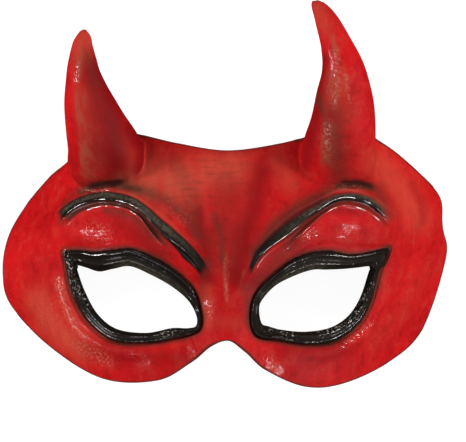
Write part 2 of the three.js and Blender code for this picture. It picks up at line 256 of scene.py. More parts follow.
# ring, reach towards the eye and away from it in mm, height in mm, lines where it fades in and out
BROW_RIDGES = [
    (2.06, 2.2, 1.2, 0.9, (0.4, 1.1, 4.4, 5.5)),  # fold of the upper lid
    (2.55, 1.3, 1.3, -0.8, (0.5, 1.2, 4.8, 6.2)),  # groove under the brow
    (3, 1.5, 2.6, 1.3, (0.6, 1.2, 5.8, 7.1)),  # crest of the brow
    (4.02, 1, 1.2, 0.8, (0.3, 1.1, 6.3, 7.4)),  # top edge of the brow
    (2.1, 3.5, 5, 1.4, (11, 13, 15, 16.5)),  # bag under the eye
]
# path, half width, height
FOLDS = [
    ([(69, 8.7), (76.2, 1.6), (78.1, -4.3), (78.5, -11), (84.8, -12.6)], 1.2, -0.5),
    ([(-62.7, -1.6), (-66.3, -8.3)], 1.5, 0.35),
    ([(-74, -41), (-72, -55.5)], 2.5, 0.6),
    ([(-12.5, 2), (-10.5, -7), (-9, -15)], 1.3, -0.35),
    ([(-3.5, -8), (-1.5, -18), (-1, -24)], 1.5, -0.35),
    ([(0.5, -22), (0.3, -38)], 1.2, 0.5),
    ([(-13, -56), (-11.3, -61)], 0.6, -0.4),
]
# size and height in mm, seed
LUMPS = [(19, 0.35, 3.1), (5, 0.12, 7.7), (1.8, 0.05, 5.2)]
WRINKLED = {"centre": (-7, 5), "radii": (18, 11), "height": 0.34, "size": (9, 1.3), "seed": 1.5}
DETAIL_RING = 4.6  # from here lumps and folds fade towards the cut edge


def lumps(x, y, across, along, seed):
    """Soft random lumps between -1 and 1, of the given size in mm each way."""
    points = zip(np.ravel(x) / across, np.ravel(y) / along)
    values = [noise.noise(Vector((px, py, seed))) for px, py in points]
    return np.reshape(values, np.shape(x))


def from_opening(curves, ring):
    """How far from the opening a ring lies, at each point."""
    return np.linalg.norm(plan(curves, ring) - curves[0], axis=1)


def beyond(curves, ring, other):
    """How far a ring lies outside another one, in mm."""
    return from_opening(curves, ring) - from_opening(curves, other)


def ridge_height(curves, ring):
    height = np.zeros(len(LINE_OF_STEP))
    for centre, half_width, rise in RIM_RIDGES:
        off = min(abs(ring - centre) / half_width, 1)
        height = height + rise * math.cos(off * math.pi / 2) ** 2
    for centre, inner_reach, outer_reach, rise, lines in BROW_RIDGES:
        off = beyond(curves, ring, centre)
        off = np.clip(abs(off) / np.where(off < 0, inner_reach, outer_reach), 0, 1)
        height = height + rise * span(LINE_OF_STEP, *lines) * np.cos(off * math.pi / 2) ** 2
    return height


def how_wrinkled(x, y):
    return mound(x, y, WRINKLED["centre"], WRINKLED["radii"])


def skin_detail(x, y):
    height = sum(rise * lumps(x, y, size, size, seed) for size, rise, seed in LUMPS)
    for path, half_width, rise in FOLDS:
        height = height + rise * bell(path_distance(x, y, path), half_width)
    wrinkles = lumps(x, y, *WRINKLED["size"], WRINKLED["seed"])
    return height + WRINKLED["height"] * how_wrinkled(x, y) * wrinkles


def edge_drop(curves, ring):
    """Low side edges come down to the table, so that the mask rests on two flat strips."""
    edge = face_height(*plan(curves, EDGE).T)
    low = 1 - smoothstep(edge, *LOW_EDGE)
    return (edge - TABLE_CUT) * low * smoothstep(ring, BROW_TOP, EDGE)


def outer_points(curves, ring):
    x, y = plan(curves, ring).T
    detail = skin_detail(x, y) * (1 - smoothstep(ring, DETAIL_RING, EDGE))
    z = face_height(x, y) + ridge_height(curves, ring) + detail - edge_drop(curves, ring)
    return np.column_stack([x, y, z])


def inner_points(curves, ring, wall=WALL):
    """The inside follows the soft form, a wall's thickness in along its normal."""
    x, y = plan(curves, ring).T
    small = 0.05
    slope_x = (face_height(x + small, y) - face_height(x - small, y)) / (2 * small)
    slope_y = (face_height(x, y + small) - face_height(x, y - small)) / (2 * small)
    scale = wall / np.sqrt(slope_x ** 2 + slope_y ** 2 + 1)
    z = face_height(x, y) - edge_drop(curves, ring) - scale
    return np.column_stack([x + slope_x * scale, y + slope_y * scale, z])


# %% [markdown]
# Each half is made as by hand: a circle is laid on the eye opening, and its edge is extruded outward
# ring by ring to the edge of the mask, round the cut edge, back along the inside to the opening, and
# over the lip to where it began. Every ring is then moved to its place. The result is a closed skin
# with an even grid, which takes fine ridges far better than a mesh cut from a block.

# %% Rings of one half
OUTER_COUNTS = (14, 16, 9, 9, 16)  # rings between opening, rim, fold, crest, brow's top and edge
LID_SPAN, WING_SPAN = RIM, BROW_TOP  # they crowd where the lid meets its fold and the wing the brow
CROWDING = 1.6
INNER_COUNTS = (4, 4, 3, 3, 6)
LIP = (0.12, 0.32, 0.5, 0.68, 0.88)  # how far round a cut edge its rings lie
LIP_BULGE = 0.35
TINY = 1e-9


def ring_list(counts):
    rings = []
    for key, count in enumerate(counts):
        parts = np.arange(count) / count
        if key == LID_SPAN:
            parts = 1 - (1 - parts) ** CROWDING
        if key == WING_SPAN:
            parts = parts ** CROWDING
        rings += list(key + parts)
    return rings + [EDGE]


def cut_edge(outer, inner, outward):
    """Rings round a cut edge, from the outer face to the inner one."""
    rings = []
    for t in LIP:
        bulge = LIP_BULGE * math.sin(math.pi * t)
        ring = outer + (inner - outer) * t
        ring[:, :2] += outward * bulge
        rings.append(ring)
    return rings


def outward_normals(points, centre):
    tangent = np.roll(points, -1, axis=0) - np.roll(points, 1, axis=0)
    normal = np.column_stack([tangent[:, 1], -tangent[:, 0]])
    normal /= np.maximum(np.linalg.norm(normal, axis=1), TINY)[:, None]
    facing = np.sign(np.sum(normal * (points - centre), axis=1))
    return normal * facing[:, None]


def half_rings(curves):
    outer_rings = [outer_points(curves, ring) for ring in ring_list(OUTER_COUNTS)]
    inner_rings = [inner_points(curves, ring) for ring in ring_list(INNER_COUNTS)]
    eye_centre = curves[0].mean(axis=0)
    edge_out = outward_normals(curves[EDGE], eye_centre)
    top, notch = MIDLINE_TOP * STEPS, MIDLINE_NOTCH * STEPS
    edge_out[top:notch + 1] = 0
    edge_out[top] = (0, 1)
    edge_out[notch] = (0, -1)
    round_edge = cut_edge(outer_rings[-1], inner_rings[-1], edge_out)
    eye_in = -outward_normals(curves[0], eye_centre)
    round_eye = cut_edge(outer_rings[0], inner_rings[0], eye_in)
    return outer_rings, round_edge, inner_rings[::-1], round_eye[::-1]


LEFT_RINGS = half_rings(SIDES["left"])
RIGHT_RINGS = half_rings(SIDES["right"])
print("Rings in a half:", sum(len(group) for group in LEFT_RINGS))

# %% Extrude a closed form from a circle
PAINTED = bpy.data.materials.new("painted_latex")
BARE = bpy.data.materials.new("bare_latex")
INSIDE = 1  # material slot of the bare inside; slot 0 is the painted outside
START_RADIUS = 10 * MM  # of any size, since each ring is moved to its place


def deselect_everything():
    if bpy.context.object and bpy.context.object.mode != "OBJECT":
        bpy.ops.object.mode_set(mode="OBJECT")
    bpy.ops.object.select_all(action="DESELECT")


def select_only(piece):
    deselect_everything()
    bpy.context.view_layer.objects.active = piece
    piece.select_set(True)


def extrude_rings(name, rings):
    """A tube of rings: the circle is the first, and each extrusion of its edge is the next."""
    deselect_everything()
    sides = len(rings[0])
    bpy.ops.mesh.primitive_circle_add(vertices=sides, radius=START_RADIUS, fill_type="NOTHING")
    piece = bpy.context.object
    piece.name = name
    piece.data.name = name
    piece.data.materials.append(PAINTED)
    piece.data.materials.append(BARE)
    bpy.ops.object.mode_set(mode="EDIT")
    bpy.ops.mesh.select_all(action="SELECT")
    for _ in rings[1:]:
        bpy.ops.mesh.extrude_region_move(TRANSFORM_OT_translate={"value": (0, 0, MM)})
    bpy.ops.object.mode_set(mode="OBJECT")
    places = np.vstack(rings) * MM
    piece.data.vertices.foreach_set("co", places.ravel())
    piece.data.update()
    return piece


def in_edit_mode(piece, *operations):
    """Selects all of a piece and runs the edit-mode operations on it."""
    select_only(piece)
    bpy.ops.object.mode_set(mode="EDIT")
    bpy.ops.mesh.select_all(action="SELECT")
    for operation, settings in operations:
        operation(**settings)
    bpy.ops.object.mode_set(mode="OBJECT")


def select_faces(piece, wanted):
    """Selects the faces for which wanted is true, and nothing else."""
    mesh = piece.data
    mesh.vertices.foreach_set("select", np.zeros(len(mesh.vertices), bool))
    mesh.edges.foreach_set("select", np.zeros(len(mesh.edges), bool))
    mesh.polygons.foreach_set("select", wanted)


# %% The two halves
WELD = 0.02 * MM


def make_half(name, groups):
    """A half with its cut edge, and which of its faces lie between the halves and have to go."""
    outer, round_edge, inner, round_eye = groups
    half = extrude_rings(name, outer + round_edge + inner + round_eye + [outer[0]])
    mesh = half.data
    sides = len(outer[0])
    corners = np.array([face.vertices for face in mesh.polygons])
    ring, step = corners.min(axis=1) // sides, corners % sides
    wraps = (step.max(axis=1) - step.min(axis=1)) > 1
    step = np.where(wraps, sides - 1, step.min(axis=1))
    first_cut = len(outer) - 1
    last_cut = first_cut + len(round_edge)
    inside = (ring > last_cut) & (ring < last_cut + len(inner))
    mesh.polygons.foreach_set("material_index", np.where(inside, INSIDE, 0))
    cut = (ring >= first_cut) & (ring <= last_cut)
    between = (step >= MIDLINE_TOP * STEPS) & (step < MIDLINE_NOTCH * STEPS)
    return half, cut & between


def join_halves(name, sides_groups):
    halves = []
    for groups in sides_groups:
        half, between = make_half(name, groups)
        select_faces(half, between)
        select_only(half)
        bpy.ops.object.mode_set(mode="EDIT")
        bpy.ops.mesh.select_mode(type="FACE")
        bpy.ops.mesh.delete(type="FACE")
        bpy.ops.mesh.select_mode(type="VERT")
        bpy.ops.object.mode_set(mode="OBJECT")
        halves.append(half)
    for half in halves:
        half.select_set(True)
    bpy.ops.object.join()
    whole = bpy.context.object
    whole.name = name
    whole.data.name = name
    in_edit_mode(
        whole,
        (bpy.ops.mesh.remove_doubles, {"threshold": WELD}),
        (bpy.ops.mesh.normals_make_consistent, {"inside": False}),
    )
    return whole


skin = join_halves("mask_skin", [LEFT_RINGS, RIGHT_RINGS])
print("Skin:", len(skin.data.vertices), "points,", len(skin.data.polygons), "faces")

# %% [markdown]
# The horns are hollow cones of oval sections, square to a bent centre line, with a round tip. They are
# made as closed forms and joined to the skin by booleans, in the order in which a sculptor would
# work: stand the horn on the forehead, trim off what reaches through, join, then hollow it out.

# %% Horns
# centre of a section, half its width and half its depth; the first lies inside the forehead
LEFT_HORN = [
    ((-46.6, 8.5, 12), (12.5, 7.5)),
    ((-46.8, 10.8, 27), (14.3, 9.8)),
    ((-46.9, 13.3, 38.5), (15.3, 11.3)),
    ((-47.8, 18.5, 47.5), (14.3, 11)),
    ((-50.7, 26.5, 55), (12.3, 10.4)),
    ((-53.8, 36.5, 59.5), (9.8, 9)),
    ((-55.7, 46.5, 61.5), (7, 7)),
    ((-56.1, 52.8, 62), (5.6, 5.6)),
    ((-56.1, 58, 62), (4.25, 4.25)),
    ((-55.7, 61.2, 61.8), (3.25, 3.25)),
    ((-55.5, 63.3, 61.7), (2.1, 2.1)),
    ((-55.3, 64.5, 61.6), (0.9, 0.9)),
]
RIGHT_HORN = [
    ((44.2, 8, 12), (12.8, 8)),
    ((44.3, 10.2, 27), (14.5, 10.4)),
    ((44.5, 12.7, 38.5), (15.2, 11.9)),
    ((45.2, 19, 48), (14.2, 11)),
    ((46.6, 28, 56), (12.9, 10.6)),
    ((47, 38.5, 61), (11.2, 9.6)),
    ((46.5, 49, 63.5), (8.6, 8.2)),
    ((43.8, 59, 64.5), (6.2, 6.2)),
    ((39.6, 69, 64), (4.4, 4.4)),
    ((36.5, 74.2, 63), (2.6, 2.6)),
    ((36.2, 75.4, 62.7), (1.7, 1.7)),
    ((36.1, 75.9, 62.5), (0.8, 0.8)),
]
HORN_SIDES = 72
HORN_RINGS = 84
HOLLOW_RINGS = 30
HORN_SOLID_TIP = 0.22
ROOT_SQUARENESS = 0.22  # the roots are squarish ovals, the rest is round
ROOT_STATIONS = (2, 5)  # between these sections the squareness goes
HORN_ROUGHNESS = 0.28  # height of the lumps at the root, in mm
HORN_LUMPS = [(1, (7, 13), 4.4), (0.35, (2, 3), 8.8)]  # share, size across and along in mm, seed
TIP_ROUND = 0.25  # height of the small dome that closes the tip
TIP_STEPS = 4


def at_station(stations, t):
    last = len(stations) - 1
    padded = np.vstack([2 * stations[0] - stations[1], stations, 2 * stations[-1] - stations[-2]])
    i = min(int(t), last - 1)
    return through(*padded[i:i + 4], t - i)


def horn_ring(stations, t, inset=0, rough=0):
    """One section of a horn: its points, its centre and the direction of the horn there."""
    small = 0.01
    row = at_station(stations, t)
    last = len(stations) - 1
    along = at_station(stations, min(t + small, last)) - at_station(stations, max(t - small, 0))
    along = along[:3] / np.linalg.norm(along[:3])
    side = np.array([1, 0, 0]) - along * along[0]
    side /= np.linalg.norm(side)
    up = np.cross(along, side)
    angle = 2 * np.pi * np.arange(HORN_SIDES) / HORN_SIDES
    power = 1 - ROOT_SQUARENESS * (1 - smoothstep(t, *ROOT_STATIONS))
    waves = (np.cos(angle)[:, None], np.sin(angle)[:, None])
    cos, sin = (np.sign(wave) * abs(wave) ** power for wave in waves)
    points = row[:3] + (row[3] - inset) * cos * side + (row[4] - inset) * sin * up
    if rough:
        across, down = points[:, 0] + points[:, 2], points[:, 1]
        bumps = sum(share * lumps(across, down, *size, seed) for share, size, seed in HORN_LUMPS)
        points += (rough * bumps)[:, None] * (cos * side + sin * up)
    return points, row[:3], along


def horn_rings(stations):
    stations = np.array([at + half for at, half in stations], float)
    last = len(stations) - 1
    rings = []
    for k in range(HORN_RINGS + 1):
        t = last * k / HORN_RINGS
        points, centre, along = horn_ring(stations, t, rough=HORN_ROUGHNESS * (1 - k / HORN_RINGS))
        rings.append(points)
    for k in range(1, TIP_STEPS):
        turn = 0.5 * math.pi * k / TIP_STEPS
        rings.append(centre + (points - centre) * math.cos(turn) + along * TIP_ROUND * math.sin(turn))
    hollow = [horn_ring(stations, last * (1 - HORN_SOLID_TIP) * k / HOLLOW_RINGS, inset=WALL)[0]
              for k in range(HOLLOW_RINGS + 1)]
    return rings, hollow


def closed_tube(name, rings):
    """A tube whose two ends are filled."""
    tube = extrude_rings(name, rings)
    in_edit_mode(
        tube,
        (bpy.ops.mesh.select_non_manifold, {}),
        (bpy.ops.mesh.fill_holes, {"sides": 0}),
        (bpy.ops.mesh.select_all, {"action": "SELECT"}),
        (bpy.ops.mesh.normals_make_consistent, {"inside": False}),
    )
    return tube


HORN_FORMS = [horn_rings(LEFT_HORN), horn_rings(RIGHT_HORN)]
horns = [closed_tube("horn", rings) for rings, _ in HORN_FORMS]
hollows = [closed_tube("hollow", rings) for _, rings in HORN_FORMS]
for hollow in hollows:
    hollow.data.polygons.foreach_set("material_index", np.full(len(hollow.data.polygons), INSIDE))
print("Horn:", len(horns[0].data.polygons), "faces")

# %% [markdown]
# A horn's root would show inside the mask, so the room behind the face is made as a solid too, and
# taken away from each horn. It reaches a little way up into the wall, so that no sliver is left.

# %% Room behind the face
ROOT_IN_WALL = 0.9
BASE_Z = -25


def space_groups(curves):
    top = [inner_points(curves, ring, WALL - ROOT_IN_WALL) for ring in ring_list(INNER_COUNTS)]
    floor = [top[-1] * (1, 1, 0) + (0, 0, BASE_Z), top[0] * (1, 1, 0) + (0, 0, BASE_Z)]
    return top, [], floor, []


face_space = join_halves("face_space", [space_groups(curves) for curves in SIDES.values()])

# %% Join, trim and hollow
def combine(piece, operation, tool):
    """A boolean on the piece, which uses up the tool."""
    select_only(piece)
    change = piece.modifiers.new(operation, "BOOLEAN")
    change.operation = operation
    change.solver = "MANIFOLD"
    change.object = tool
    bpy.ops.object.modifier_apply(modifier=change.name)


for horn in horns:
    combine(horn, "DIFFERENCE", face_space)
    combine(skin, "UNION", horn)
for hollow in hollows:
    combine(skin, "DIFFERENCE", hollow)
for tool in [face_space, *horns, *hollows]:
    bpy.data.objects.remove(tool)
at_the_table = {"plane_co": (0, 0, 0), "plane_no": (0, 0, 1), "clear_inner": True, "use_fill": True}
in_edit_mode(skin, (bpy.ops.mesh.bisect, at_the_table))
print("Joined:", len(skin.data.vertices), "points,", len(skin.data.polygons), "faces")

# %% [markdown]
# Booleans leave a knife-sharp line where horn meets forehead. Poured latex fills such a corner, so
# the points near the line are relaxed. A vertex group holds how strongly each one is moved, and the
# Smooth modifier reads it, so the ridges elsewhere stay crisp.

# %% Soften the roots of the horns
ROOT_REACH = 3.2 * MM
OUTER_ROOT_REACH = 10 * MM  # the horns run out softly into the temples
OUTER_SIDE = (50 * MM, 58 * MM)
ROOT_CORE = 1.5  # above one, so that the middle of the band is relaxed in full
RELAX_FACTOR = 0.5
RELAX_TIMES = 28
SMOOTH_ANGLE = math.radians(75)


def tree_of(points):
    tree = kdtree.KDTree(len(points))
    for index, point in enumerate(points):
        tree.insert(point, index)
    tree.balance()
    return tree


def point_places(mesh):
    places = np.empty(len(mesh.vertices) * 3)
    mesh.vertices.foreach_get("co", places)
    return places.reshape(-1, 3)


def inside_points(mesh):
    """Which points belong to a face of the inside."""
    inside = np.zeros(len(mesh.vertices), bool)
    for face in mesh.polygons:
        if face.material_index == INSIDE:
            inside[list(face.vertices)] = True
    return inside


OUTER_GRID = np.vstack(LEFT_RINGS[0] + RIGHT_RINGS[0]) * MM
OUTER_TREE = tree_of(OUTER_GRID)
HORN_TREE = tree_of(np.vstack([np.vstack(rings) for rings, _ in HORN_FORMS]) * MM)

places = point_places(skin.data)
from_horn = np.array([HORN_TREE.find(place)[2] for place in places])
from_face = np.array([OUTER_TREE.find(place)[2] for place in places])
reach = ROOT_REACH + (OUTER_ROOT_REACH - ROOT_REACH) * smoothstep(abs(places[:, 0]), *OUTER_SIDE)
near_root = np.clip(ROOT_CORE * (1 - np.maximum(from_horn, from_face) / reach), 0, 1)
near_root[inside_points(skin.data)] = 0
root_group = skin.vertex_groups.new(name="horn_roots")
for index in np.nonzero(near_root)[0]:
    root_group.add([int(index)], float(near_root[index]), "REPLACE")
relax = skin.modifiers.new("relax", "SMOOTH")
relax.factor = RELAX_FACTOR
relax.iterations = RELAX_TIMES
relax.vertex_group = root_group.name
select_only(skin)
bpy.ops.object.modifier_apply(modifier=relax.name)
skin.vertex_groups.clear()
bpy.ops.object.shade_smooth_by_angle(angle=SMOOTH_ANGLE)
print("Softened points:", int((near_root > 0).sum()))

# %% [markdown]
# Mist from a spray gun, brush strokes and small glints each get a list of strokes. A stroke is a short
# path with a soft edge. It is given in millimetres on the mask, as a painter would place it: beside the
# nose, under a horn, along a brow.

# %% Strokes of paint
# path, half width in mm, strength
BROWN_MIST = [
    ([(-57, 1), (-50.5, 3.2), (-42.5, 3.6), (-33.5, 1.5)], 1.9, 0.9),  # under the left horn: brown spray, and painted shade in the crease below it
    ([(-40, 3.5), (-29, 0), (-22, -3.5), (-15.5, -9), (-11, -16)], 2.6, 0.58),  # above the left brow
    ([(-19, 12), (-15, 4), (-13, -4)], 3.2, 0.3),  # forehead
    ([(-15, -5), (-9, -15), (-4, -20)], 4, 0.32),  # beside the left brow
    ([(28, -19), (20, -27), (13, -36)], 3.5, 0.25),  # right lid
    ([(-34, -15), (-24, -25)], 3.5, 0.15),  # left lid
    ([(-60, 0), (-64, -5), (-65, -11)], 1.6, 0.5),  # left brow's outer end
    ([(-47, -6.5), (-41, -7), (-36, -9.5), (-28, -17)], 2, 0.6),  # under the left fold
    ([(44, 3.2), (51.3, 3.8), (58, 2.4)], 1.9, 0.95),  # under the right horn: brown spray, and painted shade in the crease below it
    ([(60.4, 1.6), (64.4, -8.3)], 3, 0.55),  # right brow's outer end
    ([(41.4, 0.8), (29.6, -4.3), (19.7, -12.2), (11.8, -24)], 3, 0.72),  # above the right brow
    ([(-11.8, 2), (-9.9, -8.3), (-8, -16.2)], 2.6, 0.3),  # left frown furrow
    ([(-4, -8.3), (-1.2, -18), (-1.2, -26)], 2.4, 0.6),  # middle furrow
    ([(-7, -27), (-8.5, -32)], 2, 0.5),  # inner end of the left brow
    ([(64.5, -21), (62, -30), (60.5, -37)], 1.6, 0.5),  # right eye's corner
    ([(1, 0), (1, -26)], 7, 0.3),  # between the brows
    ([(9, -37), (9, -50)], 2.4, 0.35),  # right side of the nose
    ([(-9, -36), (-9, -48)], 2, 0.3),  # left side of the nose
]
CRIMSON = [
    ([(14.6, 9.5), (12, -4), (6.5, -20), (5, -34)], 5, 0.8),  # ridge between the brows
    ([(3, 0), (2, -20), (2, -50)], 9, 0.24),  # nose
    ([(20, 10), (16, -6)], 7, 0.3),  # forehead
    ([(-12, -8), (-7.5, -24), (-7, -33)], 3.6, 0.8),  # left side of the nose
    ([(-25, -64), (-16, -65)], 3.5, 0.5),  # beside the nose
    ([(25, -60), (45, -62)], 6, 0.45),  # under the right eye
    ([(-53, -62), (-28, -65)], 5, 0.4),  # under the left eye
    ([(26, -21), (12, -36)], 4, 0.65),  # right lid
    ([(-42, -11), (-34, -16), (-24, -26)], 3.5, 0.5),  # left lid
    ([(58, -2), (52, -7), (38, -6), (24, -17)], 1.8, 0.6),  # under the right brow
    ([(74, 4), (78.1, -4.3), (78.5, -11)], 1.8, 0.45),  # fold of the right wing
    ([(9, -37), (9, -50)], 2.6, 0.5),  # right side of the nose
]
# black: painted shade in the creases under the horns, and a soft spray over the right brow
BLACK_SHADE_AND_SPRAY = [
    ([(-52.5, 3.2), (-49, 4.1), (-45.4, 4.4), (-41, 5)], 1.1, 0.9),  # under the left horn: painted shade in the crease below it
    ([(47, 4.8), (52, 4.7), (57.5, 3.4)], 1.1, 0.85),  # under the right horn: painted shade in the crease below it
    ([(12.6, -23.4), (18.4, -17.3), (25, -11.2), (31.6, -6.6), (38.5, -3.2)], 1.7, 0.85),  # over the right brow, a soft black spray
]
WARM = [
    ([(-34, 10), (-22, 5), (-4, 9), (3, 10)], 8.5, 1),  # forehead
    ([(20, 12), (26, 4)], 4, 0.6),
    ([(60, 12), (70, 2), (76, -10)], 6, 0.7),  # top of the right wing
    ([(80, -30), (70, -48), (58, -58)], 4, 0.15),  # its lower edge
    ([(-64.7, -36), (-63.5, -44), (-60, -52), (-55, -58)], 2.8, 0.7),  # bag under the left eye, a painted sheen
    ([(-74, -42), (-69, -52), (-56, -62)], 5.5, 0.9),  # left cheek, a painted sheen
    ([(-56, 62), (-55.5, 54)], 4.5, 1),  # tips of the horns
    ([(37, 74), (40, 66)], 3.5, 0.6),
    # below the left eye, a painted sheen
    ([(-55, -60), (-47, -66)], 3.5, 0.5),
    ([(-7.1, -37), (-7.1, -51)], 2.6, 0.7),  # left side of the nose
    ([(-2, -50), (4, -51)], 3, 0.4),  # tip of the nose
    # top edges of the brows: a painted highlight along the lit ridge
    ([(-42, 3), (-35.5, -0.8), (-29.6, -4.5), (-23.7, -9.5), (-18.5, -14.8), (-13.8, -20.3),
      (-10, -25.5)], 0.8, 0.7),
    ([(39.5, 0.4), (44.6, 1.8), (49.3, 1.6), (54, 0.4), (59.2, -2), (62.7, -5.1), (64.3, -9.9)], 0.8, 0.7),
]
# on the horns the tan is a painted reflection of the lamps, with a sharp edge down each horn
TAN = [
    ([(-58, 60), (-57.8, 46)], 1.8, 0.5),  # left horn, high: painted reflection
    ([(-57, 38), (-55.5, 24), (-54.5, 10)], 4.5, 0.65),  # left horn, low: painted reflection
    ([(41.8, 62.7), (44.2, 55.2), (44.6, 45), (43.4, 37)], 1, 0.75),  # right horn, high: painted highlight
    ([(46.6, 50.5), (48.5, 41.8), (48.9, 36.3)], 0.8, 0.5),
    ([(43, 46), (42.5, 34)], 2.8, 0.7),
    ([(47, 44), (48, 30)], 3.5, 0.3),
    ([(40.5, 26), (39.8, 14.5)], 3.2, 0.85),  # right horn, low: painted highlight
    ([(-40, 4), (-30, 1)], 4, 0.7),  # beside the left horn
    ([(0.3, -24), (-0.2, -31), (0.8, -42)], 0.7, 0.55),  # streaks on the nose
    ([(7.5, -30.5), (5, -40)], 0.6, 0.35),
    ([(-23, 4), (-17, -2)], 6, 0.4),  # forehead
]
HORN_CRIMSON = [
    ([(-49.5, 49), (-47.5, 41), (-43.5, 27), (-42, 9)], 8, 1),  # left horn
    ([(-38, 25), (-31.5, 17), (-34, 9)], 6, 1),  # its root
    ([(38.3, 53), (36.7, 33), (32.8, 17.4), (30.8, 9.5)], 3.2, 0.85),  # right horn
]
HORN_MIST = [
    ([(36.5, 37), (38.5, 28)], 2.6, 0.6),  # right horn
    ([(43, 31), (44, 18), (45, 8)], 4.6, 0.58),
    ([(-54, 54), (-52, 44)], 3.5, 0.35),  # left horn
    ([(-46, 32), (-42, 22)], 4, 0.12),
    ([(-53, 42), (-51, 28), (-49, 14)], 4, 0.2),
]
# a sharp line down each horn, x at each y, where mist and tan stop; it is the sharp edge of the painted
# reflection
HORN_LINE_Y = (5, 18, 30, 39, 49, 56)
HORN_LINE_X = {"left": (-57.5, -57.5, -59, -59.2, -58.4, -57.5), "right": (37, 37.5, 38.3, 34, 30, 28)}
LINE_SOFTNESS = (-0.3, 0.5)
HORN_FROM_Y = (4, 5)
# places of glints: clear gloss, with a pale painted highlight under its dots
SPARKLES = [
    ([(-53, -14.6), (-48.5, -15)], 3.4, 0.75),  # left lid
    ([(48.3, -13.8)], 2.2, 0.9),  # right lid
    ([(31, -17), (35, -15.5)], 1.5, 0.6),
    ([(-5.8, -43), (-5.6, -48)], 1.6, 0.55),  # side of the nose
    ([(-63.5, -22), (-62.5, -30), (-59.5, -40)], 0.9, 0.6),  # beside the left rim
    ([(-68, -44), (-60, -58)], 3.5, 0.3),  # left cheek
    ([(-57, -60), (-47, -66)], 2.4, 0.85),
    ([(0.3, -26), (0.6, -40)], 0.8, 0.6),  # nose
    ([(17, -66), (20, -69)], 2.2, 1),  # beside the nose
    ([(-14, -61.5), (-12, -65)], 1.4, 0.6),
    ([(-65.9, -36), (-64.3, -42), (-59.5, -53), (-55, -57)], 1.7, 0.8),  # bag under the left eye
    ([(-38, -63), (-30, -66)], 2.4, 0.14),
    ([(-73.5, -44), (-72.5, -52)], 1, 0.5),
    ([(46.6, -60), (55.6, -53.3), (57.6, -51.7)], 1.1, 0.9),  # bag under the right eye
    ([(-57, 1), (-46.6, 2.8)], 1.3, 0.9),  # root of the left horn
    ([(46, 3), (53, 3)], 1, 0.7),  # root of the right horn
    ([(43.5, 56), (44.6, 45), (43, 35)], 1.5, 0.7),  # right horn
    ([(47.5, 47), (48.9, 37)], 0.9, 0.6),
    ([(40.3, 27), (40.3, 16)], 1.8, 0.6),
    ([(-57.5, 53), (-57.8, 44)], 0.9, 0.7),  # left horn
    ([(-22, -4), (-16, -10)], 3, 0.25),  # above the left brow
    ([(-63.5, -22), (-61.4, -29), (-58.4, -37), (-53, -45)], 1.2, 0.9),  # left rim, outer side
    ([(-16, -51), (-24, -55)], 1.8, 0.7),  # left rim, inner corner
    ([(17, -52), (26, -56)], 1.8, 0.7),  # right rim, inner corner
    ([(58, -36), (50, -50), (38, -55)], 1.2, 0.6),  # right rim, outer side
]


def past_line(x, y):
    """One on the side of the sharp line that faces the middle of the horn."""
    left, right = (np.interp(y, HORN_LINE_Y, HORN_LINE_X[side]) for side in SIDES)
    on_horn = smoothstep(y, *HORN_FROM_Y)
    return 1 - on_horn * (1 - smoothstep(x - np.where(x < 0, left, right), *LINE_SOFTNESS))


def strokes(x, y, paths):
    """Strength of the strongest stroke of paint at each place."""
    strength = np.zeros_like(x)
    for path, half_width, most in paths:
        strength = np.maximum(strength, most * bell(path_distance(x, y, path), half_width))
    return strength


print("Strokes of brown mist:", len(BROWN_MIST + HORN_MIST), " glints:", len(SPARKLES))

# %% [markdown]
# The rest of the paint runs along the rings of each eye: a hard black border on the rim, a softer one on
# the brow, lines where fingers have rubbed the paint shiny, and a greyish olive on the black that is a
# painted sheen. A ring is seldom black all the way round, so a band also says between which profile
# lines it lies, and where it fades.

# %% Paint that follows the rings
# profile lines, and the rings between which the brow is black at each of them
BAND = {
    "left": (
        (0, 3, 4, 5, 6, 7),
        (2.75, 2.75, 2.95, 2.95, 2.3, 2.6),
        (4, 3.95, 3.9, 3.9, 3.9, 3.9),
    ),
    "right": (
        (0, 3.2, 4.2, 5, 6, 7),
        (2.6, 2.5, 2.9, 2.95, 2.85, 3),
        (3.65, 3.65, 3.85, 3.95, 4, 3.95),
    ),
}
BAND_ENDS = {"left": (0.65, 0.95, 6.8, 7.1), "right": (1.0, 1.5, 6.7, 7.1)}
BAND_FOOT_SOFTNESS = 0.12  # in rings
BAND_TOP_SOFTNESS = {"left": 0.12, "right": 0.4}  # the right one is sprayed softly at the top

# strength, rings and profile lines between which the black gets a greyish olive, a painted sheen of light
BROW_OLIVE_SHEEN = {
    "left": (0.85, (3.12, 3.35, 3.6, 3.85), (0.7, 1.2, 4.5, 6.8)),
    "right": (0.75, (3.02, 3.2, 3.4, 3.7), (1, 1.5, 3.8, 6)),
}
# the same painted sheen on the inner bead of the rim
BEAD_OLIVE_SHEEN = (0.45, (0.2, 0.5), (2.5, 4, 6, 7.5))

# brown under the brow: thin paint, and painted shade in the groove there
SHADE = {"left": 0.95, "right": 0.62}
SHADE_RINGS = (1.94, 2.1, 2.9, 3.1)
SHADE_LINES = (0.7, 1.2, 4.8, 5.8)

# ring, half width in mm, profile lines between which it shines
GLOSSY_RIDGES = [(2.06, 0.7, (0.7, 1.3, 4.6, 5.3)), (3.02, 1.0, (0.7, 1.3, 6.3, 7))]
GLOSSY_BEADS = [(0.25, 0.45), (0.80, 0.55)]  # ring of the rim, half width in mm
BEAD_SHINE = {"left": 1.0, "right": 0.6}
RIM_SHEEN = {"left": 0.12, "right": 0.03}


